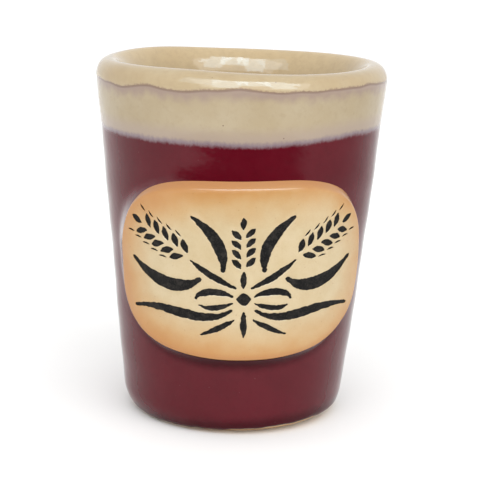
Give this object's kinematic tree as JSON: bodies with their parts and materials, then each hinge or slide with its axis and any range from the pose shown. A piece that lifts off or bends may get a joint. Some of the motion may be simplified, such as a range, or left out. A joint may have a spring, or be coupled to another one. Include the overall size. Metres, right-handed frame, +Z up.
{
  "type": "stoneware shot cup",
  "caption": "Small thrown stoneware shot cup, cream glaze over burgundy, with an applied oval clay plaque bearing an impressed barley pattern.",
  "frame": {"origin": "centre of the foot, on the surface that the cup stands on", "axes": "+Z up along the cup's axis; the plaque is on the -Y side, with +X to its right as one looks at it"},
  "size_m": [0.0502, 0.0503, 0.062],
  "materials": {
    "bare_clay": "unglazed stoneware, matt and slightly gritty",
    "slip": "matt fired slip",
    "plaque_clay": "satin cream clay, toasted orange-brown near its edge",
    "cream_glaze": "glossy cream glaze",
    "band_glaze": "glossy cream glaze with lilac at its edges and fine specks",
    "burgundy_glaze": "glossy burgundy glaze",
    "black_stain": "matt black fired stain"
  },
  "bodies": {
    "root": {"clay_body": "bare_clay", "luting_slip": "slip", "plaque": "plaque_clay", "stem_stain": "black_stain", "leaf_stain": "black_stain", "grain_stain": "black_stain", "bow_stain": "black_stain", "wine_glaze": "burgundy_glaze", "band_glaze": "band_glaze", "liner_glaze": "cream_glaze"}
  },
  "joints": []
}
